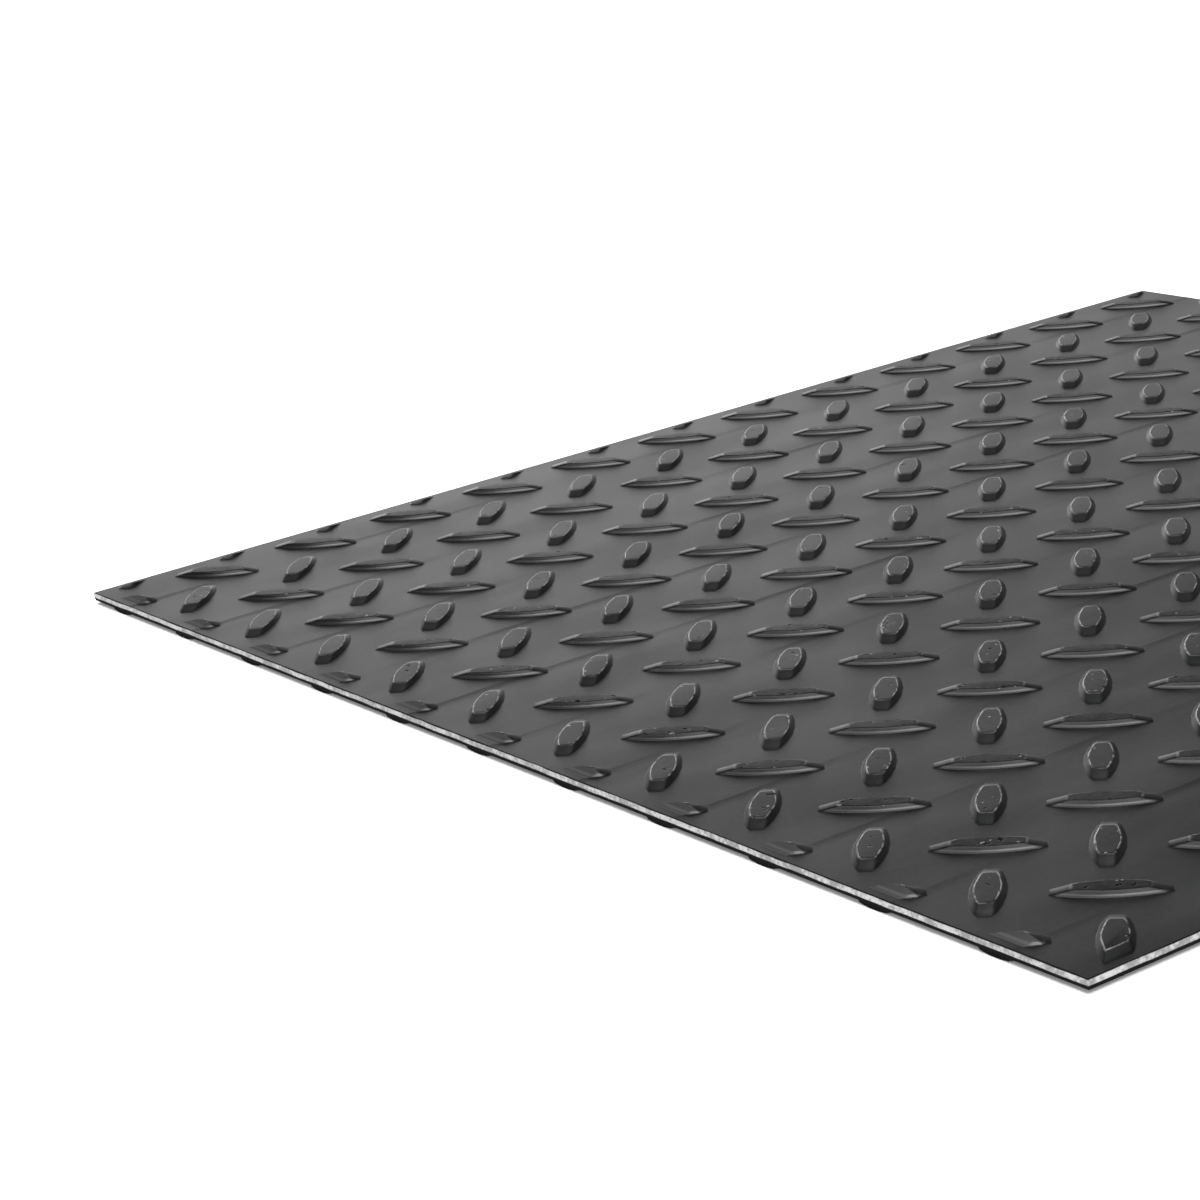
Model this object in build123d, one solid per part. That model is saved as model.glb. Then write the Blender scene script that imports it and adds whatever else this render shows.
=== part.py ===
from build123d import *
import math
import os

# Sheet: X is the rolling direction, Y goes across it, Z is up. Millimetres throughout.
sheet_length = 500.0
sheet_width = 500.0
base_thickness = 3.0

# Lugs: lens-shaped bars, pressed up by the engraved roll, at 45 degrees to the rolling direction.
# Half of them rise towards +Y and half fall, and each one points at the flanks of its neighbours.
pitch_along = 40.0
pitch_across = 44.8
lug_height = 1.5
foot_length = 30.6
foot_width = 9.8
foot_nose = 4.0
crest_length = 18.6
crest_width = 7.0
flats_per_flank = 4
rising_angle = 45.0
falling_angle = -45.0

# Where the shears cut the sheet: how far a rising lug's centre lies in from the -X edge,
# and how far another one's lies outside the +Y edge.
rising_in_from_left = 19.3
rising_out_past_back = 3.9

# What the shears did: below the clean cut the steel broke away inwards, and each lug in their way
# was pressed flush with the sheet at the cut, so that it bulges out below instead.
break_height = 1.0
break_depth = 0.35
press_reach = 7.0
bulge_depth = 1.1
bulge_rim_rise = 0.7
bulge_flat = 2.4
overrun = 0.5

half_length = sheet_length / 2
half_width = sheet_width / 2
face_height = bulge_depth + base_thickness


def make_frustum(inset_below, inset_above, low, high):
    """A block from low to high whose outline is the sheet's, drawn in by another amount at each end."""
    ends = [
        Pos(0, 0, height) * Rectangle(sheet_length - 2 * inset, sheet_width - 2 * inset)
        for inset, height in ((inset_below, low), (inset_above, high))
    ]
    return loft(ends, ruled=True)


def make_sheet():
    """The plain sheet: an upright clean cut above, and the broken edge round its underside."""
    broken = make_frustum(break_depth, 0, bulge_depth, bulge_depth + break_height)
    clean = make_frustum(0, 0, bulge_depth + break_height, face_height)
    return broken + clean


def make_lens():
    """The foot's outline: two arcs taken in flats, with a blunt nose between them at each end."""
    tip, side, blunt = foot_length / 2, foot_width / 2, foot_nose / 2
    arc = ThreePointArc((-tip, -blunt), (0, -side), (tip, -blunt))
    near = [arc @ (step / flats_per_flank) for step in range(flats_per_flank + 1)]
    far = [(point.X, -point.Y) for point in reversed(near)]
    return make_face(Polyline(*near, *far, close=True))


def make_lug():
    """One lug along X with its foot at the height zero: sloping flanks, and longer slopes at its noses."""
    flank_slope = math.degrees(math.atan2((foot_width - crest_width) / 2, lug_height))
    body = extrude(make_lens(), amount=lug_height, taper=flank_slope)
    tip, shoulder = foot_length / 2, crest_length / 2
    side_view = Polyline(
        (-tip, 0),
        (tip, 0),
        (shoulder, lug_height),
        (-shoulder, lug_height),
        close=True,
    )
    return body & extrude(Plane.XZ * make_face(side_view), amount=foot_width / 2, both=True)


def make_bulge(lug):
    """What a pressed lug bulges out to: the same lug, sloping from a narrow flat up to its rim."""
    side, flat = foot_width / 2, bulge_flat / 2
    rim_height = lug_height - bulge_rim_rise
    end_view = Polyline(
        (-side, 0),
        (side, 0),
        (side, rim_height),
        (flat, lug_height),
        (-flat, lug_height),
        (-side, rim_height),
        close=True,
    )
    return lug & extrude(Plane.YZ * make_face(end_view), amount=foot_length / 2, both=True)


def row_places(first, limit, pitch):
    """Places one pitch apart on both sides of first, as far as a lug still reaches the sheet."""
    reach = limit + foot_length / 2
    before = math.floor((first + reach) / pitch)
    after = math.floor((reach - first) / pitch)
    return [first + step * pitch for step in range(-before, after + 1)]


def lug_places(first_x, first_y, angle):
    """Every place on the sheet for the lugs that lie one way."""
    return [
        Pos(x, y, 0) * Rot(0, 0, angle)
        for x in row_places(first_x, half_length, pitch_along)
        for y in row_places(first_y, half_width, pitch_across)
    ]


def all_places():
    """The places of both nets of lugs, which are half a pitch apart."""
    rising_x = rising_in_from_left - half_length
    rising_y = rising_out_past_back + half_width
    falling_x = rising_x - pitch_along / 2
    falling_y = rising_y - pitch_across / 2
    rising = lug_places(rising_x, rising_y, rising_angle)
    return rising + lug_places(falling_x, falling_y, falling_angle)


def is_cut(lug):
    """True where a lug crosses an edge of the sheet."""
    box = lug.bounding_box()
    return max(-box.min.X, box.max.X) > half_length or max(-box.min.Y, box.max.Y) > half_width


def common_pieces(solid, room):
    """What a solid and the room for it share, as separate solids."""
    return (solid & room).solids()


def make_lugs():
    """All the lugs. Those that the shears met are flush with the sheet at the cut, and bulge out below."""
    lug = make_lug()
    bulge = make_bulge(lug)
    room_above = make_frustum(0, press_reach, face_height, face_height + lug_height)
    below = make_frustum(break_depth, break_depth, 0, bulge_depth)
    outset = overrun * press_reach / bulge_depth
    kept = make_frustum(break_depth - outset, break_depth + press_reach, -overrun, bulge_depth)
    room_below = below - kept
    pieces = []
    for place in all_places():
        raised = place * Pos(0, 0, face_height) * lug
        if is_cut(raised):
            sunk = place * Pos(0, 0, lug_height) * Rot(180, 0, 0) * bulge
            pieces += common_pieces(raised, room_above) + common_pieces(sunk, room_below)
        else:
            pieces.append(raised)
    return pieces


checker_plate = make_sheet() + make_lugs()
os.makedirs("parts", exist_ok=True)
export_step(checker_plate, "parts/checker_plate.step")
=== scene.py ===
"""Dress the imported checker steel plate: one sheared square of hot-rolled sheet with lens-shaped lugs.

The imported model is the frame. Everything is in metres, with +X along the rolling direction, +Y across
it and +Z up out of the patterned face. The sheet lies on the floor at the height zero.
"""

import logging
import math
from collections.abc import Callable
from dataclasses import dataclass, field
from enum import Enum

import bpy
from mathutils import Matrix, Vector


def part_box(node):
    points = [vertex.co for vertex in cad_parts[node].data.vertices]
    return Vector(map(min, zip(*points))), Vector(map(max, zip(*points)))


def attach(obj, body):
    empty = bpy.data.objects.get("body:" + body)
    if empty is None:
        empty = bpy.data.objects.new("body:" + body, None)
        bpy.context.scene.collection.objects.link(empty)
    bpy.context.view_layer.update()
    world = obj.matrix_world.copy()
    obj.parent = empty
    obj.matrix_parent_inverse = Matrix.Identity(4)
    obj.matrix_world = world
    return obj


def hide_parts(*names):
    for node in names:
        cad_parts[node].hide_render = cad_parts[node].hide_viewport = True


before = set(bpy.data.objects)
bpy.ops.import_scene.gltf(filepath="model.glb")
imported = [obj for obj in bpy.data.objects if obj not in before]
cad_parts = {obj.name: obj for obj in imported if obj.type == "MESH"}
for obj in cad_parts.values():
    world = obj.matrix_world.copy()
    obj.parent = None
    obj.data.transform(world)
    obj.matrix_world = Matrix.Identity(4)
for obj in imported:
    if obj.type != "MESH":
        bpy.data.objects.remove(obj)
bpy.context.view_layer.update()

LOG = logging.getLogger("checker_plate")

MM = 0.001
SLACK = 0.002 * MM

Socket = bpy.types.NodeSocket


class Lean(Enum):
    """Which way a lug lies, as its turn from the rolling direction in degrees."""

    RISING = 45.0
    FALLING = -45.0


class End(Enum):
    """One end of a block, as the direction in which it faces."""

    UPPER = 1
    LOWER = -1


class Element(Enum):
    """What is selected in edit mode."""

    VERTEX = "VERT"
    EDGE = "EDGE"
    FACE = "FACE"


class Joining(Enum):
    """What stays of two pieces that are joined."""

    UNION = "UNION"
    INTERSECT = "INTERSECT"
    DIFFERENCE = "DIFFERENCE"


def deselect_all() -> None:
    """Leave nothing selected in object mode, because an operator acts on all that is."""
    if bpy.context.mode != "OBJECT":
        bpy.ops.object.mode_set(mode="OBJECT")
    bpy.ops.object.select_all(action="DESELECT")


def make_active(piece: bpy.types.Object) -> None:
    """Select one object alone and make it active.

    Args:
        piece: The object.
    """
    deselect_all()
    piece.select_set(True)
    bpy.context.view_layer.objects.active = piece


def select_edit(piece: bpy.types.Object, kind: Element, wanted: Callable[..., bool]) -> None:
    """Select a piece's own vertices, edges or faces by a test, and leave it in edit mode.

    Args:
        piece: The object, which is made active.
        kind: Whether vertices, edges or faces are meant.
        wanted: A function that takes one of them and says whether it is selected.
    """
    make_active(piece)
    bpy.ops.object.mode_set(mode="EDIT")
    bpy.ops.mesh.select_mode(type=kind.value)
    bpy.ops.mesh.select_all(action="DESELECT")
    bpy.ops.object.mode_set(mode="OBJECT")
    mesh = piece.data
    elements = {Element.VERTEX: mesh.vertices, Element.EDGE: mesh.edges, Element.FACE: mesh.polygons}
    for element in elements[kind]:
        element.select = wanted(element)
    bpy.ops.object.mode_set(mode="EDIT")


def select_top_edges(piece: bpy.types.Object, height: float) -> None:
    """Select the edges that lie at a piece's top, and leave it in edit mode.

    Args:
        piece: The object.
        height: The height of its top.
    """
    vertices = piece.data.vertices
    level = height - SLACK
    select_edit(piece, Element.EDGE, lambda edge: all(vertices[i].co.z > level for i in edge.vertices))


def cut_away(piece: bpy.types.Object, point: tuple, normal: Vector) -> None:
    """Cut a piece by a plane, take away what lies on the normal's side, and close the cut.

    Args:
        piece: The object.
        point: A point on the plane.
        normal: The plane's normal.
    """
    select_edit(piece, Element.FACE, lambda face: True)
    bpy.ops.mesh.bisect(plane_co=point, plane_no=normal, use_fill=True, clear_outer=True)
    bpy.ops.object.mode_set(mode="OBJECT")


def apply_boolean(piece: bpy.types.Object, other: bpy.types.Object, joining: Joining) -> None:
    """Join or intersect a piece with another one, which is used up.

    Args:
        piece: The object that is kept.
        other: The object that goes.
        joining: What stays of the two.
    """
    make_active(piece)
    modifier = piece.modifiers.new(joining.value.lower(), "BOOLEAN")
    modifier.operation = joining.value
    modifier.solver = "EXACT"
    modifier.object = other
    bpy.ops.object.modifier_apply(modifier=modifier.name)
    bpy.data.objects.remove(other, do_unlink=True)


def apply_array(piece: bpy.types.Object, count: int, step: tuple) -> None:
    """Repeat a piece in a row.

    Args:
        piece: The object.
        count: How many there are in the row.
        step: From each one to the next.
    """
    make_active(piece)
    modifier = piece.modifiers.new("row", "ARRAY")
    modifier.count = count
    modifier.use_relative_offset = False
    modifier.use_constant_offset = True
    modifier.constant_offset_displace = step
    bpy.ops.object.modifier_apply(modifier=modifier.name)


def apply_weighted_normals(piece: bpy.types.Object) -> None:
    """Let large faces keep their own shading, so that the flat sheet stays flat up to the lugs' feet.

    Args:
        piece: The object, already shaded smooth.
    """
    make_active(piece)
    modifier = piece.modifiers.new("even_normals", "WEIGHTED_NORMAL")
    modifier.mode = "FACE_AREA"
    modifier.weight = 100
    modifier.keep_sharp = True
    bpy.ops.object.modifier_apply(modifier=modifier.name)


@dataclass
class Lug:
    """One lug along X with its foot at the height zero: sloping flanks and noses round a flat crest."""

    foot_length: float = 30.6 * MM
    foot_width: float = 9.8 * MM
    foot_nose: float = 3.8 * MM
    foot_shoulder: float = 6.2 * MM
    crest_length: float = 18.6 * MM
    crest_width: float = 7.0 * MM
    crest_nose: float = 3.4 * MM
    crest_shoulder: float = 5.0 * MM
    height: float = 1.5 * MM
    root_depth: float = 0.4 * MM
    flare_height: float = 0.2 * MM
    flare_width: float = 0.5 * MM
    rim_width: float = 0.5 * MM
    corners: int = 16

    def add_outline(self) -> bpy.types.Object:
        """Add the foot's flat oval, with a short straight edge at each end, as a start for the lug.

        Returns:
            The flat oval at the height zero.
        """
        reach = math.cos(math.pi / self.corners)
        deselect_all()
        bpy.ops.mesh.primitive_circle_add(vertices=self.corners, radius=0.5 / reach, fill_type="NGON")
        oval = bpy.context.active_object
        oval.rotation_euler.z = math.pi / self.corners
        bpy.ops.object.transform_apply(location=True, rotation=True, scale=True)
        oval.scale = (self.foot_length, self.foot_width, 1)
        bpy.ops.object.transform_apply(location=True, rotation=True, scale=True)
        return oval

    def set_width(self, lug: bpy.types.Object, height: float, rank: int, width: float) -> None:
        """Move the corners at one distance from the ring's middle to either side.

        Args:
            lug: The part-built lug.
            height: The ring's height.
            rank: 0 for the corners of the end edges, 1 for the next ones towards the middle.
            width: How wide the ring is there.
        """
        ring = [vertex for vertex in lug.data.vertices if abs(vertex.co.z - height) < SLACK]
        steps = {vertex.index: round(abs(vertex.co.x) / SLACK) for vertex in ring}
        reach = sorted(set(steps.values()), reverse=True)[rank]
        corners = {index for index, step in steps.items() if step == reach}
        now = 2 * max(abs(lug.data.vertices[index].co.y) for index in corners)
        select_edit(lug, Element.VERTEX, lambda vertex: vertex.index in corners)
        bpy.ops.transform.resize(value=(1, width / now, 1), center_override=(0, 0, 0))
        bpy.ops.object.mode_set(mode="OBJECT")

    def raise_ring(self, rise: float, length_share: float, width_share: float) -> None:
        """Extrude the lug's selected top face up in edit mode, and draw it in.

        Args:
            rise: How far up the new ring is.
            length_share: The new ring's length as a share of the last one's.
            width_share: The same for its width.
        """
        bpy.ops.mesh.extrude_region_move(TRANSFORM_OT_translate={"value": (0, 0, rise)})
        bpy.ops.transform.resize(value=(length_share, width_share, 1))

    def slope_sides(self, lug: bpy.types.Object, flat: float, rise: float) -> None:
        """Cut a lug's crest down from a flat strip along its middle towards its flanks.

        Args:
            lug: The lug.
            flat: The strip's width.
            rise: How much lower the crest would be over the foot's edges.
        """
        run = (self.foot_width - flat) / 2
        for side in (-1, 1):
            normal = Vector((0, side * rise, run)).normalized()
            cut_away(lug, (0, side * flat / 2, self.height), normal)

    def build(self) -> bpy.types.Object:
        """Model one lug: a root inside the sheet, a short flare, the flanks and the crest.

        Returns:
            The lug, along X, with its foot at the height zero.
        """
        lug = self.add_outline()
        lug.data.transform(Matrix.Translation((0, 0, -self.root_depth)))
        flare_length = self.foot_length - 2 * self.flare_width
        flare_width = self.foot_width - 2 * self.flare_width
        narrowing = flare_width / self.foot_width
        select_edit(lug, Element.FACE, lambda face: True)
        self.raise_ring(self.root_depth, 1, 1)
        self.raise_ring(self.flare_height, flare_length / self.foot_length, narrowing)
        flank_height = self.height - self.flare_height
        self.raise_ring(flank_height, self.crest_length / flare_length, self.crest_width / flare_width)
        bpy.ops.object.mode_set(mode="OBJECT")
        for height, nose, shoulder in (
            (-self.root_depth, self.foot_nose, self.foot_shoulder),
            (0, self.foot_nose, self.foot_shoulder),
            (self.flare_height, self.foot_nose * narrowing, self.foot_shoulder * narrowing),
            (self.height, self.crest_nose, self.crest_shoulder),
        ):
            self.set_width(lug, height, 0, nose)
            self.set_width(lug, height, 1, shoulder)
        select_top_edges(lug, self.height)
        bpy.ops.mesh.bevel(offset=self.rim_width, segments=1)
        bpy.ops.object.mode_set(mode="OBJECT")
        return lug


@dataclass
class Pattern:
    """Where the lugs stand on the sheet, in two nets that are half a pitch apart."""

    pitch_along: float = 40.0 * MM
    pitch_across: float = 44.8 * MM
    rising_in_from_left: float = 19.3 * MM
    rising_out_past_back: float = 3.9 * MM
    spare_rows: int = 3

    def rising_place(self, low: Vector, high: Vector) -> tuple[float, float]:
        """Find the rising lug that stands next to the sheet's left back corner.

        Args:
            low: The sheet's lowest corner.
            high: The sheet's highest corner.

        Returns:
            Its X and Y.
        """
        return low.x + self.rising_in_from_left, high.y + self.rising_out_past_back

    def first_place(self, lean: Lean, low: Vector, high: Vector) -> tuple[float, float]:
        """Find where one net starts: at least a pitch outside the sheet's left and front edges.

        Args:
            lean: Which net.
            low: The sheet's lowest corner.
            high: The sheet's highest corner.

        Returns:
            X and Y of the net's first lug.
        """
        x, y = self.rising_place(low, high)
        if lean is Lean.FALLING:
            x -= self.pitch_along / 2
            y -= self.pitch_across / 2
        while x > low.x - self.pitch_along:
            x -= self.pitch_along
        while y > low.y - self.pitch_across:
            y -= self.pitch_across
        return x, y

    def net(self, lug: bpy.types.Object, lean: Lean, low: Vector, high: Vector) -> bpy.types.Object:
        """Repeat a lug over the sheet and past its edges.

        Args:
            lug: One lug along X, which is used up.
            lean: Which way the lugs lie.
            low: The sheet's lowest corner.
            high: The sheet's highest corner.

        Returns:
            The net of lugs as one object.
        """
        x, y = self.first_place(lean, low, high)
        turn = Matrix.Rotation(math.radians(lean.value), 4, "Z")
        lug.data.transform(Matrix.Translation((x, y, 0)) @ turn)
        count_along = math.ceil((high.x - low.x) / self.pitch_along) + self.spare_rows
        count_across = math.ceil((high.y - low.y) / self.pitch_across) + self.spare_rows
        apply_array(lug, count_along, (self.pitch_along, 0, 0))
        apply_array(lug, count_across, (0, self.pitch_across, 0))
        return lug


@dataclass
class CheckerPlate:
    """The whole plate: the sheared sheet with its lugs, fused into one closed mesh.

    The shears pressed the lugs in their way flush with the sheet at the cut, so that those bulge out
    below. The plate lies on these bulges.
    """

    base_thickness: float = 3.0 * MM
    rollover: float = 0.25 * MM
    break_height: float = 1.0 * MM
    break_depth: float = 0.35 * MM
    press_flat: float = 2.5 * MM
    press_reach: float = 4.0 * MM
    bulge_reach: float = 7.0 * MM
    bulge_depth: float = 1.1 * MM
    bulge_rim_rise: float = 0.7 * MM
    bulge_flat: float = 2.4 * MM
    overrun: float = 0.5 * MM
    smooth_angle: float = 36.0
    level_normal: float = 0.99
    lug: Lug = field(default_factory=Lug)
    pattern: Pattern = field(default_factory=Pattern)

    def corners(self) -> tuple[Vector, Vector]:
        """The CAD node's lowest and highest corner."""
        low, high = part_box("checker_plate")
        return Vector(low), Vector(high)

    def face_height(self) -> float:
        """The height of the sheet's upper face between the lugs."""
        return self.bulge_depth + self.base_thickness

    def crest_height(self) -> float:
        """The height of the lugs' flat crests."""
        return self.face_height() + self.lug.height

    def tear_height(self) -> float:
        """The height where the clean cut ends and the broken band begins."""
        return self.bulge_depth + self.break_height

    def add_block(self, inset: float, bottom: float, top: float) -> bpy.types.Object:
        """Add an upright block whose outline is the sheet's, drawn in.

        Args:
            inset: How far it is drawn in on each side.
            bottom: The block's lowest height.
            top: Its highest.

        Returns:
            The block.
        """
        low, high = self.corners()
        deselect_all()
        bpy.ops.mesh.primitive_cube_add(size=1)
        block = bpy.context.active_object
        block.scale = (high.x - low.x - 2 * inset, high.y - low.y - 2 * inset, top - bottom)
        block.location = ((low.x + high.x) / 2, (low.y + high.y) / 2, (bottom + top) / 2)
        bpy.ops.object.transform_apply(location=True, rotation=True, scale=True)
        return block

    def slope_end(self, block: bpy.types.Object, end: End, rise: float, before: float, after: float) -> None:
        """Extrude a block's upper or lower face, and draw its outline in or out.

        Args:
            block: The block.
            end: Which face.
            rise: How far the face goes, up or down.
            before: The face's inset from the sheet's outline so far.
            after: Its inset at the new height.
        """
        low, high = self.corners()
        shares = [(size - 2 * after) / (size - 2 * before) for size in (high.x - low.x, high.y - low.y)]
        select_edit(block, Element.FACE, lambda face: face.normal.z * end.value > 0.5)
        bpy.ops.mesh.extrude_region_move(TRANSFORM_OT_translate={"value": (0, 0, end.value * rise)})
        bpy.ops.transform.resize(value=(shares[0], shares[1], 1))
        bpy.ops.object.mode_set(mode="OBJECT")

    def build_sheet(self) -> bpy.types.Object:
        """Model the sheet without lugs: rolled over at the top edge, and broken away at the bottom.

        Returns:
            The sheet.
        """
        sheet = self.add_block(0, self.tear_height(), self.face_height())
        self.slope_end(sheet, End.LOWER, self.break_height, 0, self.break_depth)
        select_top_edges(sheet, self.face_height())
        bpy.ops.mesh.bevel(offset=self.rollover, segments=2, profile=0.5)
        bpy.ops.object.mode_set(mode="OBJECT")
        return sheet

    def room_above(self) -> bpy.types.Object:
        """Add the room that the shears left for the lugs: it slopes down to the sheet near its edges.

        Returns:
            The room, as a block.
        """
        room = self.add_block(self.press_flat, self.bulge_depth, self.face_height())
        inside = self.press_flat + self.press_reach
        self.slope_end(room, End.UPPER, self.lug.height, self.press_flat, inside)
        return room

    def room_below(self) -> bpy.types.Object:
        """Add the room for the bulges: a wedge round the underside, deepest at the sheet's edges.

        Returns:
            The room, as a block with a sloping hollow.
        """
        top = self.bulge_depth + self.lug.root_depth
        room = self.add_block(self.break_depth, 0, top)
        inside = self.break_depth + self.bulge_reach
        kept = self.add_block(inside, self.bulge_depth, top + self.overrun)
        outset = self.overrun * self.bulge_reach / self.bulge_depth
        self.slope_end(kept, End.LOWER, self.bulge_depth + self.overrun, inside, self.break_depth - outset)
        apply_boolean(room, kept, Joining.DIFFERENCE)
        return room

    def build_nets(self, bulging: bool) -> bpy.types.Object:
        """Model both nets of lugs as one object, with the feet at the height zero.

        Args:
            bulging: Whether their crests slope to the sides, as they do where they bulge out below.

        Returns:
            The lugs, all over the sheet and past its edges.
        """
        low, high = self.corners()
        nets = []
        for lean in Lean:
            lug = self.lug.build()
            if bulging:
                self.lug.slope_sides(lug, self.bulge_flat, self.bulge_rim_rise)
            nets.append(self.pattern.net(lug, lean, low, high))
        make_active(nets[0])
        nets[1].select_set(True)
        bpy.ops.object.join()
        return nets[0]

    def build_lugs(self) -> bpy.types.Object:
        """Model the lugs, pressed flush at the cut edges.

        Returns:
            The lugs as one object, standing on the sheet's upper face.
        """
        lugs = self.build_nets(bulging=False)
        lugs.data.transform(Matrix.Translation((0, 0, self.face_height())))
        apply_boolean(lugs, self.room_above(), Joining.INTERSECT)
        return lugs

    def build_bulges(self) -> bpy.types.Object:
        """Model what bulges out below the cut lugs.

        Returns:
            The bulges as one object, hanging from the sheet's underside.
        """
        bulges = self.build_nets(bulging=True)
        flip = Matrix.Diagonal((1, 1, -1, 1))
        bulges.data.transform(Matrix.Translation((0, 0, self.lug.height)) @ flip)
        select_edit(bulges, Element.FACE, lambda face: True)
        bpy.ops.mesh.normals_make_consistent(inside=False)
        bpy.ops.object.mode_set(mode="OBJECT")
        apply_boolean(bulges, self.room_below(), Joining.INTERSECT)
        return bulges

    def dress(self, plate: bpy.types.Object) -> None:
        """Give the faces their finishes: mill scale all over, and bright steel where it was sheared.

        Args:
            plate: The finished mesh.
        """
        for material in (MillScale().build(self), ShearedSteel().build(self)):
            plate.data.materials.append(material)
        low, high = self.corners()
        for face in plate.data.polygons:
            centre = face.center
            from_edge = min(centre.x - low.x, high.x - centre.x, centre.y - low.y, high.y - centre.y)
            at_cut = from_edge < self.break_depth + SLACK
            face.material_index = int(at_cut and abs(face.normal.z) < self.level_normal)

    def build(self) -> bpy.types.Object:
        """Model and dress the plate, and let it stand for its CAD node.

        Returns:
            The plate.
        """
        plate = self.build_sheet()
        apply_boolean(plate, self.build_lugs(), Joining.UNION)
        apply_boolean(plate, self.build_bulges(), Joining.UNION)
        plate.name = "plate_of_lugs"
        plate.data.name = plate.name
        make_active(plate)
        bpy.ops.object.shade_smooth_by_angle(angle=math.radians(self.smooth_angle))
        apply_weighted_normals(plate)
        self.dress(plate)
        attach(plate, "root")
        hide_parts("checker_plate")
        return plate


class Graph:
    """A material's or the world's node tree, with short calls to add and link nodes."""

    def __init__(self, tree: bpy.types.NodeTree) -> None:
        """Start from an empty tree.

        Args:
            tree: The node tree.
        """
        self.tree = tree
        tree.nodes.clear()

    def fill(self, socket: Socket, value: object) -> None:
        """Link an input to another node's output, or set it to a value.

        Args:
            socket: The input.
            value: A value or an output socket.
        """
        if isinstance(value, Socket):
            self.tree.links.new(value, socket)
        else:
            socket.default_value = value

    def add(self, kind: str, inputs: dict | None = None, **options: object) -> bpy.types.Node:
        """Add one node.

        Args:
            kind: The node's type name without the ShaderNode in front.
            inputs: Values or output sockets by input name or number.
            **options: The node's own settings.

        Returns:
            The node.
        """
        node = self.tree.nodes.new(f"ShaderNode{kind}")
        for name, value in options.items():
            setattr(node, name, value)
        for name, value in (inputs or {}).items():
            self.fill(node.inputs[name], value)
        return node

    def math(self, operation: str, *values: float | Socket) -> Socket:
        """Add a math node.

        Args:
            operation: Its operation.
            *values: Its inputs, numbers or sockets.

        Returns:
            Its output.
        """
        node = self.add("Math", dict(enumerate(values)), operation=operation)
        return node.outputs[0]

    def product(self, first: float | Socket, *others: float | Socket) -> Socket:
        """Multiply two or more values.

        Args:
            first: The first value.
            *others: The other ones.

        Returns:
            Their product.
        """
        for other in others:
            first = self.math("MULTIPLY", first, other)
        return first

    def inverse(self, value: Socket) -> Socket:
        """Take a value from 1."""
        return self.math("SUBTRACT", 1.0, value)

    def smooth_step(self, value: Socket, low: float, high: float) -> Socket:
        """Rise smoothly from 0 to 1 as a value goes from low to high.

        Args:
            value: The value.
            low: Where the rise starts.
            high: Where it ends.

        Returns:
            The result.
        """
        inputs = {"Value": value, "From Min": low, "From Max": high}
        return self.add("MapRange", inputs, interpolation_type="SMOOTHSTEP").outputs["Result"]

    def blend(self, factor: Socket, low: float, high: float) -> Socket:
        """Go from one number to another as a factor goes from 0 to 1.

        Args:
            factor: The factor.
            low: The result at 0.
            high: The result at 1.

        Returns:
            The result.
        """
        return self.add("MapRange", {"Value": factor, "To Min": low, "To Max": high}).outputs["Result"]

    def noise(self, vector: Socket, scale: float, detail: float) -> Socket:
        """Add a noise texture.

        Args:
            vector: The coordinates.
            scale: How many of its features go in a metre.
            detail: How many finer layers it has.

        Returns:
            Its value, about 0.5.
        """
        inputs = {"Vector": vector, "Scale": scale, "Detail": detail}
        return self.add("TexNoise", inputs).outputs["Fac"]

    def mix(self, factor: float | Socket, first: tuple | Socket, second: tuple | Socket) -> Socket:
        """Mix two colours.

        Args:
            factor: How much of the second there is.
            first: The first colour.
            second: The second colour.

        Returns:
            The mixed colour.
        """
        node = self.add("Mix", data_type="RGBA")
        for name, value in (("Factor_Float", factor), ("A_Color", first), ("B_Color", second)):
            self.fill(next(item for item in node.inputs if item.identifier == name), value)
        return next(item for item in node.outputs if item.identifier == "Result_Color")


def grey(value: float) -> tuple:
    """A neutral opaque colour."""
    return (value, value, value, 1.0)


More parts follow.
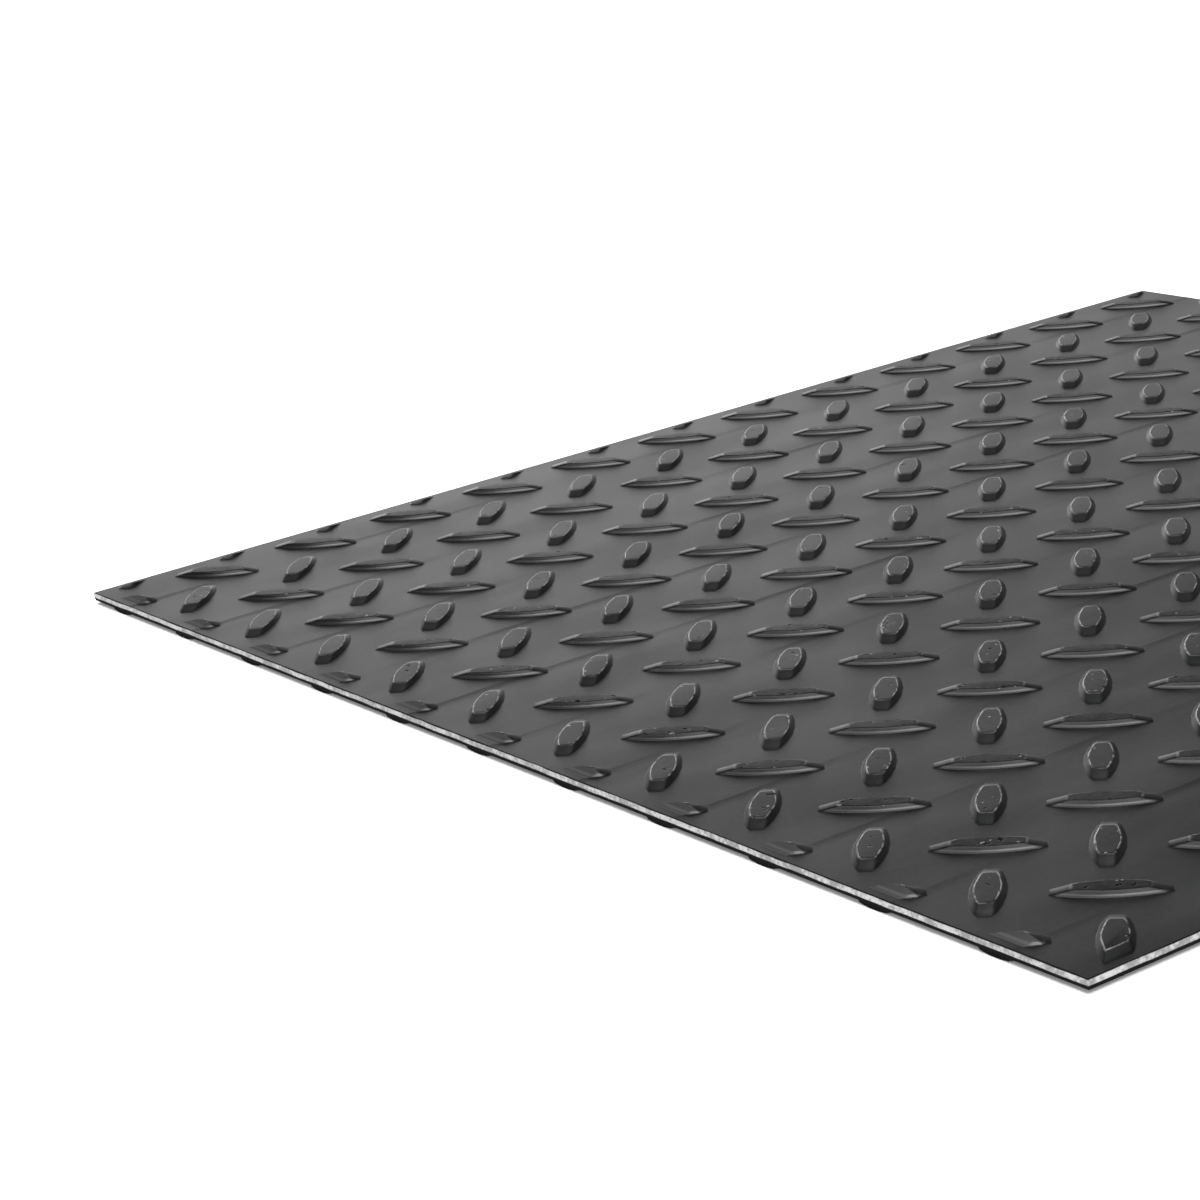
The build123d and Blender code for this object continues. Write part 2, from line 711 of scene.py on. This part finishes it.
class PlateGraph(Graph):
    """A material's node tree that knows the plate: its heights, its edges and its pattern."""

    def __init__(self, material: bpy.types.Material, plate: CheckerPlate) -> None:
        """Start from the plate's coordinates.

        Args:
            material: The material, whose nodes are replaced.
            plate: The plate.
        """
        material.use_nodes = True
        super().__init__(material.node_tree)
        self.plate = plate
        coordinates = self.add("TexCoord")
        self.place = coordinates.outputs["Object"]
        self.normal = coordinates.outputs["Normal"]
        self.x, self.y, self.height = self.add("SeparateXYZ", {0: self.place}).outputs
        self.slope = self.inverse(self.add("SeparateXYZ", {0: self.normal}).outputs["Z"])

    def below_crest(self, start: float, end: float) -> Socket:
        """Find what is high up on the lugs.

        Args:
            start: How far below the crest it starts.
            end: How far below the crest it is full.

        Returns:
            From 0 to 1.
        """
        crest = self.plate.crest_height()
        return self.smooth_step(self.height, crest - start, crest - end)

    def above_face(self, start: float, end: float) -> Socket:
        """Find what stands out of the sheet's upper face.

        Args:
            start: How far above the face it starts.
            end: How far above the face it is full.

        Returns:
            From 0 to 1.
        """
        face = self.plate.face_height()
        return self.smooth_step(self.height, face + start, face + end)

    def from_edge(self) -> Socket:
        """Measure how far in from the sheet's nearest edge a place is.

        Returns:
            The distance.
        """
        corner = self.plate.corners()[1]
        reach_x = self.math("SUBTRACT", corner.x, self.math("ABSOLUTE", self.x))
        reach_y = self.math("SUBTRACT", corner.y, self.math("ABSOLUTE", self.y))
        return self.math("MINIMUM", reach_x, reach_y)

    def pattern_axes(self) -> tuple:
        """Measure how far a place is from one of the rising lugs, along the sheet and across it.

        Returns:
            The measure and the pitch along, and the same across.
        """
        pattern = self.plate.pattern
        x, y = pattern.rising_place(*self.plate.corners())
        along = self.math("SUBTRACT", self.x, x)
        across = self.math("SUBTRACT", self.y, y)
        return (along, pattern.pitch_along), (across, pattern.pitch_across)

    def falling(self) -> Socket:
        """Tell the falling lugs from the rising ones by their places in the pattern.

        Returns:
            1 round the falling lugs and 0 round the rising ones.
        """
        waves = [
            self.math("COSINE", self.product(measure, math.tau / pitch))
            for measure, pitch in self.pattern_axes()
        ]
        return self.math("LESS_THAN", self.math("ADD", *waves), 0.0)

    def along_falling(self) -> Socket:
        """Measure how far a place is from the middle of its falling lug, towards the lug's front end.

        Returns:
            The distance, negative towards the back end.
        """
        offsets = [
            self.math("SUBTRACT", self.math("FLOORED_MODULO", measure, pitch), pitch / 2)
            for measure, pitch in self.pattern_axes()
        ]
        return self.product(self.math("SUBTRACT", *offsets), math.sqrt(0.5))

    def facing_corner(self) -> Socket:
        """Measure how much a surface faces the plate's left front corner.

        Returns:
            1 for an upright surface that faces it, less for others.
        """
        corner = (-math.sqrt(0.5), -math.sqrt(0.5), 0.0)
        inputs = {0: self.normal, 1: corner}
        return self.add("VectorMath", inputs, operation="DOT_PRODUCT").outputs["Value"]


@dataclass
class Marks:
    """Where the mill scale shows what: each goes from 0 to 1."""

    clouds: Socket
    scuffs: Socket
    flank: Socket
    falling: Socket
    lit_flank: Socket
    rising_flank: Socket
    rim: Socket
    pressed: Socket
    dents: Socket
    crease: Socket


@dataclass(frozen=True)
class MillScale:
    """The dark skin that hot rolling leaves: satin, clouded, creased, and rubbed bright on the lug rims,
    with painted light laid on: a painted highlight on the rims, the crests' glints and the falling lugs'
    near flanks, and painted shade on the lugs' flanks, round their feet, along the cut edges, in the creases
    and in the dents.

    A noise is given by its scale and its detail. A range is where a mark starts and where it is full.
    """

    colour: tuple = (0.0305, 0.031, 0.0318, 1.0)
    dark_colour: tuple = (0.0205, 0.021, 0.0215, 1.0)
    crest_colour: tuple = (0.022, 0.022, 0.0225, 1.0)
    pressed_colour: tuple = (0.036, 0.036, 0.037, 1.0)
    # painted highlight: the falling lugs' near flanks are lighter where light falls on them, and darker
    # towards their back ends
    painted_flank_highlight_colour: tuple = (0.056, 0.056, 0.057, 1.0)
    painted_highlight_back_end_colour: tuple = (0.024, 0.024, 0.0245, 1.0)
    # worn bare steel on the lug rims with a painted highlight, and painted glints on the crests
    rub_and_highlight_colour: tuple = (0.20, 0.20, 0.20, 1.0)
    # near black used for painted shade: on the lugs' flanks, round their feet, along the cut edges and in
    # the dents
    painted_shade_colour: tuple = (0.012, 0.012, 0.012, 1.0)
    roughness: float = 0.32
    flank_roughness: float = 0.30
    sheen: float = 0.735
    sheen_clouds: float = 0.13
    crest_dulling: float = 0.05
    falling_dulling: float = 0.11
    rising_flank_shade_dulling: float = 0.06
    crease_shade_dulling: float = 0.17
    dent_shade_dulling: float = 0.3
    crest_strength: float = 0.7
    rising_flank_shade: float = 0.5
    upper_flank_shade_strength: float = 0.9
    dent_shade_strength: float = 0.6
    foot_shade_strength: float = 0.85
    rub_and_highlight_strength: float = 0.8
    cloud_noise: tuple = (40.0, 4.0)
    cloud_stretch: tuple = (0.35, 1.0, 1.0)
    cloud_range: tuple = (0.3, 0.7)
    grain_noise: tuple = (500.0, 3.0)
    grain_share: float = 0.25
    scuff_noise: tuple = (420.0, 2.0)
    scuff_range: tuple = (0.30, 0.62)
    crest_glint_noise: tuple = (620.0, 2.0)
    crest_glint_range: tuple = (0.70, 0.75)
    dent_range: tuple = (0.28, 0.36)
    dent_depths: tuple = (0.1 * MM, 0.02 * MM)
    dent_relief: float = 0.05 * MM
    relief_noise: tuple = (1400.0, 3.0)
    grain_relief: float = 0.02 * MM
    flank_slopes: tuple = (0.05, 0.3)
    rim_slopes: tuple = (0.002, 0.02)
    rim_depths: tuple = (0.25 * MM, 0.05 * MM)
    foot_slopes: tuple = (0.004, 0.04)
    foot_heights: tuple = (0.2 * MM, 0.55 * MM)
    shade_depths: tuple = (0.95 * MM, 0.7 * MM)
    facing_range: tuple = (0.06, 0.16)
    front_end_shares: tuple = (-0.45, 0.2)
    pressed_heights: tuple = (0.01 * MM, 0.1 * MM)
    pressed_blend: float = 0.3 * MM
    edge_shade_width: float = 0.5 * MM
    crease_share: float = 0.70
    crease_relief: float = 0.03 * MM
    crease_fall: float = 5.0 * MM
    crease_rise: float = 1.4 * MM
    crease_wander: float = 3.0 * MM
    crease_wander_noise: tuple = (14.0, 1.0)
    crease_noise: tuple = (9.0, 2.0)
    crease_range: tuple = (0.4, 0.6)

    def clouds(self, graph: PlateGraph) -> Socket:
        """Vary the scale softly, drawn out along the rolling direction, with a fine grain in it.

        Args:
            graph: The material's graph.

        Returns:
            From 0 to 1.
        """
        streaks = graph.add("Mapping", {"Vector": graph.place, "Scale": self.cloud_stretch})
        clouds = graph.noise(streaks.outputs["Vector"], *self.cloud_noise)
        grain = graph.noise(graph.place, *self.grain_noise)
        clouds = graph.product(graph.smooth_step(clouds, *self.cloud_range), 1.0 - self.grain_share)
        grain = graph.product(graph.smooth_step(grain, *self.cloud_range), self.grain_share)
        return graph.math("ADD", clouds, grain)

    def glints(self, graph: PlateGraph) -> Socket:
        """Find the few small painted glints on the crests.

        Args:
            graph: The material's graph.

        Returns:
            From 0 to 1.
        """
        glints = graph.smooth_step(graph.noise(graph.place, *self.crest_glint_noise), *self.crest_glint_range)
        return graph.product(glints, graph.below_crest(*self.rim_depths))

    def rim(self, graph: PlateGraph, scuffs: Socket, facing: Socket) -> Socket:
        """Find the lugs' rims, where the scale is rubbed off and a painted highlight is laid, and the
        painted glints on the crests.

        Args:
            graph: The material's graph.
            scuffs: The noise that the rubbed places follow.
            facing: The falling lugs' near flanks, which get painted shade up to the crest instead.

        Returns:
            How bare and brightened the steel is, from 0 to 1.
        """
        rim = graph.product(
            graph.below_crest(*self.rim_depths),
            graph.smooth_step(graph.slope, *self.rim_slopes),
            graph.smooth_step(scuffs, *self.scuff_range),
            graph.inverse(facing),
        )
        return graph.math("MAXIMUM", rim, self.glints(graph))

    def dents(self, graph: PlateGraph, scuffs: Socket) -> Socket:
        """Find the few small dents in the crests, which the bump sinks and which get painted shade.

        Args:
            graph: The material's graph.
            scuffs: The noise that they follow.

        Returns:
            How deep the dent is, from 0 to 1.
        """
        dents = graph.inverse(graph.smooth_step(scuffs, *self.dent_range))
        return graph.product(dents, graph.below_crest(*self.dent_depths))

    def pressed(self, graph: PlateGraph, falling: Socket, flank: Socket) -> Socket:
        """Find the ends of the cut falling lugs, which the shears rubbed as they pressed them down.

        Args:
            graph: The material's graph.
            falling: Where the falling lugs are.
            flank: Where the lugs' flanks are, which stay as they were.

        Returns:
            From 0 to 1.
        """
        reach = graph.plate.press_flat + graph.plate.press_reach
        inner = graph.smooth_step(graph.from_edge(), reach - self.pressed_blend, reach + self.pressed_blend)
        raised = graph.above_face(*self.pressed_heights)
        on_lug = graph.math("MAXIMUM", graph.math("SUBTRACT", falling, flank), 0.0)
        return graph.product(graph.inverse(inner), raised, on_lug)

    def creases(self, graph: PlateGraph) -> Socket:
        """Find the faint creases along the sheet, one for each row of lugs, that come and go. The bump sinks
        them, and the lowered gloss in a band along them, soft on one side, is painted shade.

        Args:
            graph: The material's graph.

        Returns:
            How deep the crease is, from 0 to 1.
        """
        across, pitch = graph.pattern_axes()[1]
        wander = graph.math("SUBTRACT", graph.noise(graph.place, *self.crease_wander_noise), 0.5)
        across = graph.math("ADD", across, graph.product(wander, self.crease_wander))
        across = graph.math("ADD", across, (self.crease_share + 0.5) * pitch)
        off_crease = graph.math("SUBTRACT", graph.math("FLOORED_MODULO", across, pitch), pitch / 2)
        fall = graph.smooth_step(off_crease, -self.crease_fall, 0.0)
        rise = graph.smooth_step(off_crease, 0.0, self.crease_rise)
        there = graph.smooth_step(graph.noise(graph.place, *self.crease_noise), *self.crease_range)
        return graph.product(graph.math("SUBTRACT", fall, rise), there)

    def find_marks(self, graph: PlateGraph) -> Marks:
        """Find all that the scale shows.

        Args:
            graph: The material's graph.

        Returns:
            The marks.
        """
        scuffs = graph.noise(graph.place, *self.scuff_noise)
        flank = graph.smooth_step(graph.slope, *self.flank_slopes)
        falling = graph.falling()
        facing = graph.product(falling, graph.smooth_step(graph.facing_corner(), *self.facing_range))
        return Marks(
            clouds=self.clouds(graph),
            scuffs=scuffs,
            flank=flank,
            falling=falling,
            lit_flank=facing,
            rising_flank=graph.product(flank, graph.inverse(falling)),
            rim=self.rim(graph, scuffs, facing),
            pressed=self.pressed(graph, falling, flank),
            dents=self.dents(graph, scuffs),
            crease=self.creases(graph),
        )

    def foot_and_edge_shade(self, graph: PlateGraph) -> Socket:
        """Find where painted shade goes: low on the lugs' flanks round their feet, and along the sheet's cut
        edges.

        Args:
            graph: The material's graph.

        Returns:
            How much painted shade there is, from 0 to 1.
        """
        low = graph.inverse(graph.above_face(*self.foot_heights))
        foot = graph.product(low, graph.smooth_step(graph.slope, *self.foot_slopes), self.foot_shade_strength)
        inner = graph.smooth_step(graph.from_edge(), self.edge_shade_width / 2, self.edge_shade_width)
        return graph.math("MAXIMUM", foot, graph.inverse(inner))

    def tone(self, graph: PlateGraph, marks: Marks) -> Socket:
        """Lay the colours over each other, from the clouded scale to the painted shade round the lugs' feet
        and along the cut edges, with a painted highlight and painted shade on the flanks, worn rims with a
        painted highlight, and painted shade in the dents.

        Args:
            graph: The material's graph.
            marks: What the scale shows.

        Returns:
            The colour.
        """
        length = graph.plate.lug.foot_length
        front_end = [share * length for share in self.front_end_shares]
        front_end = graph.smooth_step(graph.along_falling(), *front_end)
        # painted highlight on the falling lugs' near flanks, fading towards their back ends
        painted_flank_highlight = graph.mix(front_end, self.painted_highlight_back_end_colour, self.painted_flank_highlight_colour)
        raised = graph.below_crest(graph.plate.lug.height / 2, 0.0)
        # painted shade: the upper part of the falling lugs' near flanks, under the crest, darkened to near
        # black
        shade = graph.product(graph.below_crest(*self.shade_depths), marks.lit_flank, self.upper_flank_shade_strength)
        tone = graph.mix(marks.clouds, self.dark_colour, self.colour)
        for amount, colour in (
            (graph.product(raised, self.crest_strength), self.crest_colour),
            (graph.product(marks.lit_flank, marks.flank), painted_flank_highlight),
            (marks.pressed, self.pressed_colour),
            # painted shade on the rising lugs' flanks
            (graph.product(marks.rising_flank, self.rising_flank_shade), self.painted_shade_colour),
            (shade, self.painted_shade_colour),
            # worn rims with a painted highlight, and painted glints on the crests
            (graph.product(marks.rim, self.rub_and_highlight_strength), self.rub_and_highlight_colour),
            # painted shade in the dents
            (graph.product(marks.dents, self.dent_shade_strength), self.painted_shade_colour),
            # painted shade round the lugs' feet and along the sheet's cut edges
            (self.foot_and_edge_shade(graph), self.painted_shade_colour),
        ):
            tone = graph.mix(amount, tone, colour)
        return tone

    def gloss(self, graph: PlateGraph, marks: Marks) -> Socket:
        """Work out how much light the scale throws back at a low angle: less where the crests are worn, and
        less in the creases, the dents and on the rising lugs' flanks, which is painted shade.

        Args:
            graph: The material's graph.
            marks: What the scale shows.

        Returns:
            The share of the light.
        """
        crest_wear = graph.math("MULTIPLY_ADD", marks.falling, self.falling_dulling, self.crest_dulling)
        crest_wear = graph.product(crest_wear, marks.scuffs, 2.0)
        gloss = graph.math("MULTIPLY_ADD", marks.clouds, self.sheen_clouds, self.sheen)
        for loss in (
            # painted shade along the creases, as lowered gloss
            graph.product(marks.crease, self.crease_shade_dulling),
            # painted shade in the dents, as lowered gloss
            graph.product(marks.dents, self.dent_shade_dulling),
            graph.product(crest_wear, graph.below_crest(*self.rim_depths)),
            # painted shade on the rising lugs' flanks, as lowered gloss
            graph.product(marks.rising_flank, self.rising_flank_shade_dulling),
        ):
            gloss = graph.math("SUBTRACT", gloss, loss)
        return gloss

    def relief(self, graph: PlateGraph, marks: Marks) -> Socket:
        """Raise the scale's grain, and sink its dents and creases.

        Args:
            graph: The material's graph.
            marks: What the scale shows.

        Returns:
            The bumped normal.
        """
        relief = graph.product(graph.noise(graph.place, *self.relief_noise), self.grain_relief)
        relief = graph.math("SUBTRACT", relief, graph.product(marks.dents, self.dent_relief))
        relief = graph.math("SUBTRACT", relief, graph.product(marks.crease, self.crease_relief))
        return graph.add("Bump", {"Height": relief, "Distance": 1.0}).outputs["Normal"]

    def build(self, plate: CheckerPlate) -> bpy.types.Material:
        """Make the material.

        Args:
            plate: The plate, for the heights and pitches that the finish follows.

        Returns:
            The material.
        """
        material = bpy.data.materials.new("mill_scale")
        graph = PlateGraph(material, plate)
        marks = self.find_marks(graph)
        inputs = {
            "Base Color": self.tone(graph, marks),
            "Metallic": graph.inverse(graph.math("MAXIMUM", marks.rim, marks.pressed)),
            "Roughness": graph.blend(marks.flank, self.roughness, self.flank_roughness),
            "Specular Tint": self.gloss(graph, marks),
            "Normal": self.relief(graph, marks),
        }
        shader = graph.add("BsdfPrincipled", inputs)
        graph.add("OutputMaterial", {"Surface": shader.outputs[0]})
        return material


@dataclass(frozen=True)
class ShearedSteel:
    """Bare steel on the cut faces: burnished bright in a band, and torn below, with painted shade in near
    black over the rolled-over top, the torn steel and the bulges.
    """

    bright_colour: tuple = (0.42, 0.42, 0.42, 1.0)
    dull_colour: tuple = (0.20, 0.20, 0.20, 1.0)
    # painted shade: near black for the rolled-over top, the torn steel and the bulges
    torn_shade_colour: tuple = (0.004, 0.004, 0.004, 1.0)
    roughness: float = 0.45
    torn_roughness: float = 0.95
    metal_strength: float = 0.8
    shine: tuple = (0.1, 0.5)
    patch_noise: tuple = (160.0, 3.0)
    streak_noise: tuple = (800.0, 4.0)
    streak_range: tuple = (0.35, 0.65)
    streak_relief: float = 0.05 * MM
    wander_noise: tuple = (60.0, 2.0)
    wander: float = 0.8 * MM
    clean_heights: tuple = (0.1 * MM, 0.3 * MM)
    rolled_depths: tuple = (0.4 * MM, 0.2 * MM)

    def burnished(self, graph: PlateGraph) -> Socket:
        """Find the burnished band between the torn steel and the rolled-over edge.

        Args:
            graph: The material's graph.

        Returns:
            From 0 to 1.
        """
        wander = graph.math("SUBTRACT", graph.noise(graph.place, *self.wander_noise), 0.5)
        level = graph.math("ADD", graph.height, graph.product(wander, self.wander))
        above_tear = [graph.plate.tear_height() + height for height in self.clean_heights]
        below_face = [graph.plate.face_height() - depth for depth in self.rolled_depths]
        rolled = graph.smooth_step(level, *below_face)
        return graph.product(graph.smooth_step(level, *above_tear), graph.inverse(rolled))

    def build(self, plate: CheckerPlate) -> bpy.types.Material:
        """Make the material.

        Args:
            plate: The plate, for the heights where the tear and the rolled-over edge start.

        Returns:
            The material.
        """
        material = bpy.data.materials.new("sheared_steel")
        graph = PlateGraph(material, plate)
        patches = graph.math("SUBTRACT", graph.noise(graph.place, *self.patch_noise), 0.5)
        streaks = graph.math("ADD", graph.noise(graph.place, *self.streak_noise), patches)
        clean = self.burnished(graph)
        bright = graph.smooth_step(streaks, *self.streak_range)
        bright = graph.mix(bright, self.dull_colour, self.bright_colour)
        bump = graph.add("Bump", {"Height": graph.product(streaks, self.streak_relief), "Distance": 1.0})
        inputs = {
            # painted shade in near black outside the burnished band
            "Base Color": graph.mix(clean, self.torn_shade_colour, bright),
            "Metallic": graph.product(clean, self.metal_strength),
            "Roughness": graph.blend(clean, self.torn_roughness, self.roughness),
            "Specular IOR Level": graph.blend(clean, *self.shine),
            "Normal": bump.outputs["Normal"],
        }
        shader = graph.add("BsdfPrincipled", inputs)
        graph.add("OutputMaterial", {"Surface": shader.outputs[0]})
        return material


@dataclass(frozen=True)
class Lamp:
    """A soft square lamp that faces the middle of the plate, with its power in watts."""

    name: str
    place: tuple
    size: float
    power: float

    def build(self) -> None:
        """Hang the lamp."""
        deselect_all()
        bpy.ops.object.light_add(type="AREA", location=self.place)
        lamp = bpy.context.active_object
        lamp.name = self.name
        lamp.data.energy = self.power
        lamp.data.size = self.size
        lamp.rotation_euler = (-Vector(self.place)).to_track_quat("-Z", "Y").to_euler()


@dataclass
class Studio:
    """The pale floor, the soft light and the camera at the photograph's angle.

    The room's light is given by the cosine of the angle to its bright side, from -1 to 1.
    """

    floor_size: float = 12.0
    floor_colour: tuple = (0.9, 0.9, 0.9, 1.0)
    floor_glow: float = 0.14
    bright_side: tuple = (0.4997, 0.8655, 0.0349)
    room_light: tuple = (
        (-1.0, 1.2),
        (-0.7, 1.0),
        (-0.5, 0.4),
        (0.72, 0.3),
        (0.86, 0.3),
        (0.90, 0.41),
        (0.92, 0.58),
        (0.94, 0.87),
        (0.955, 1.13),
        (0.97, 1.49),
        (0.98, 1.80),
        (0.989, 2.20),
        (1.0, 2.9),
    )
    lamps: tuple = (
        Lamp("ceiling_lamp", (0.2, 0.4, 4.0), 3.0, 220.0),
        Lamp("side_lamp", (-0.30, -0.48, 0.60), 0.45, 3.0),
    )
    camera_place: tuple = (-0.71791, -0.78178, 0.32145)
    forward: tuple = (0.52410, 0.80003, -0.29200)
    upward: tuple = (0.25782, 0.17772, 0.94971)
    lens: float = 100.672
    sensor_width: float = 36.0
    nearest_seen: float = 0.01

    def build_floor(self) -> None:
        """Lay the floor that the plate rests on."""
        deselect_all()
        bpy.ops.mesh.primitive_plane_add(size=self.floor_size)
        floor = bpy.context.active_object
        floor.name = "studio_floor"
        material = bpy.data.materials.new("pale_floor")
        material.use_nodes = True
        graph = Graph(material.node_tree)
        matte = graph.add("BsdfDiffuse", {"Color": self.floor_colour})
        glow = graph.add("Emission", {"Color": grey(1.0), "Strength": self.floor_glow})
        both = graph.add("AddShader", {0: matte.outputs[0], 1: glow.outputs[0]})
        graph.add("OutputMaterial", {"Surface": both.outputs[0]})
        floor.data.materials.append(material)

    def build_world(self) -> None:
        """Make the room's light: brightest low down behind the plate, and darker round the other sides."""
        world = bpy.data.worlds.new("studio_room")
        bpy.context.scene.world = world
        world.use_nodes = True
        graph = Graph(world.node_tree)
        direction = graph.add("TexCoord").outputs["Generated"]
        towards = graph.add("VectorMath", {0: direction, 1: self.bright_side}, operation="DOT_PRODUCT")
        half = graph.math("MULTIPLY_ADD", towards.outputs["Value"], 0.5, 0.5)
        ramp = graph.add("ValToRGB", {"Fac": half})
        brightest = max(light for cosine, light in self.room_light)
        points = ramp.color_ramp.elements
        while len(points) < len(self.room_light):
            points.new(0.5)
        for point, (cosine, light) in zip(points, self.room_light):
            point.position = (cosine + 1) / 2
            point.color = grey(light / brightest)
        background = graph.add("Background", {"Color": ramp.outputs["Color"], "Strength": brightest})
        graph.add("OutputWorld", {"Surface": background.outputs[0]})

    def build_camera(self) -> None:
        """Set the camera where the photograph's was."""
        deselect_all()
        bpy.ops.object.camera_add()
        camera = bpy.context.active_object
        camera.name = "photo_camera"
        camera.data.sensor_width = self.sensor_width
        camera.data.lens = self.lens
        camera.data.clip_start = self.nearest_seen
        back = -Vector(self.forward).normalized()
        right = Vector(self.upward).cross(back).normalized()
        up = back.cross(right)
        turn = Matrix((right, up, back)).transposed().to_4x4()
        camera.matrix_world = Matrix.Translation(self.camera_place) @ turn
        bpy.context.scene.camera = camera

    def build(self) -> None:
        """Make the whole studio."""
        self.build_floor()
        self.build_world()
        for lamp in self.lamps:
            lamp.build()
        self.build_camera()
        bpy.context.scene.view_settings.view_transform = "Standard"


def main() -> None:
    """Build the studio and the plate, and log the plate's face count."""
    logging.basicConfig(level=logging.INFO, format="%(name)s: %(message)s")
    Studio().build()
    plate = CheckerPlate().build()
    LOG.info("%s: %d faces", plate.name, len(plate.data.polygons))


if __name__ == "__main__":
    main()
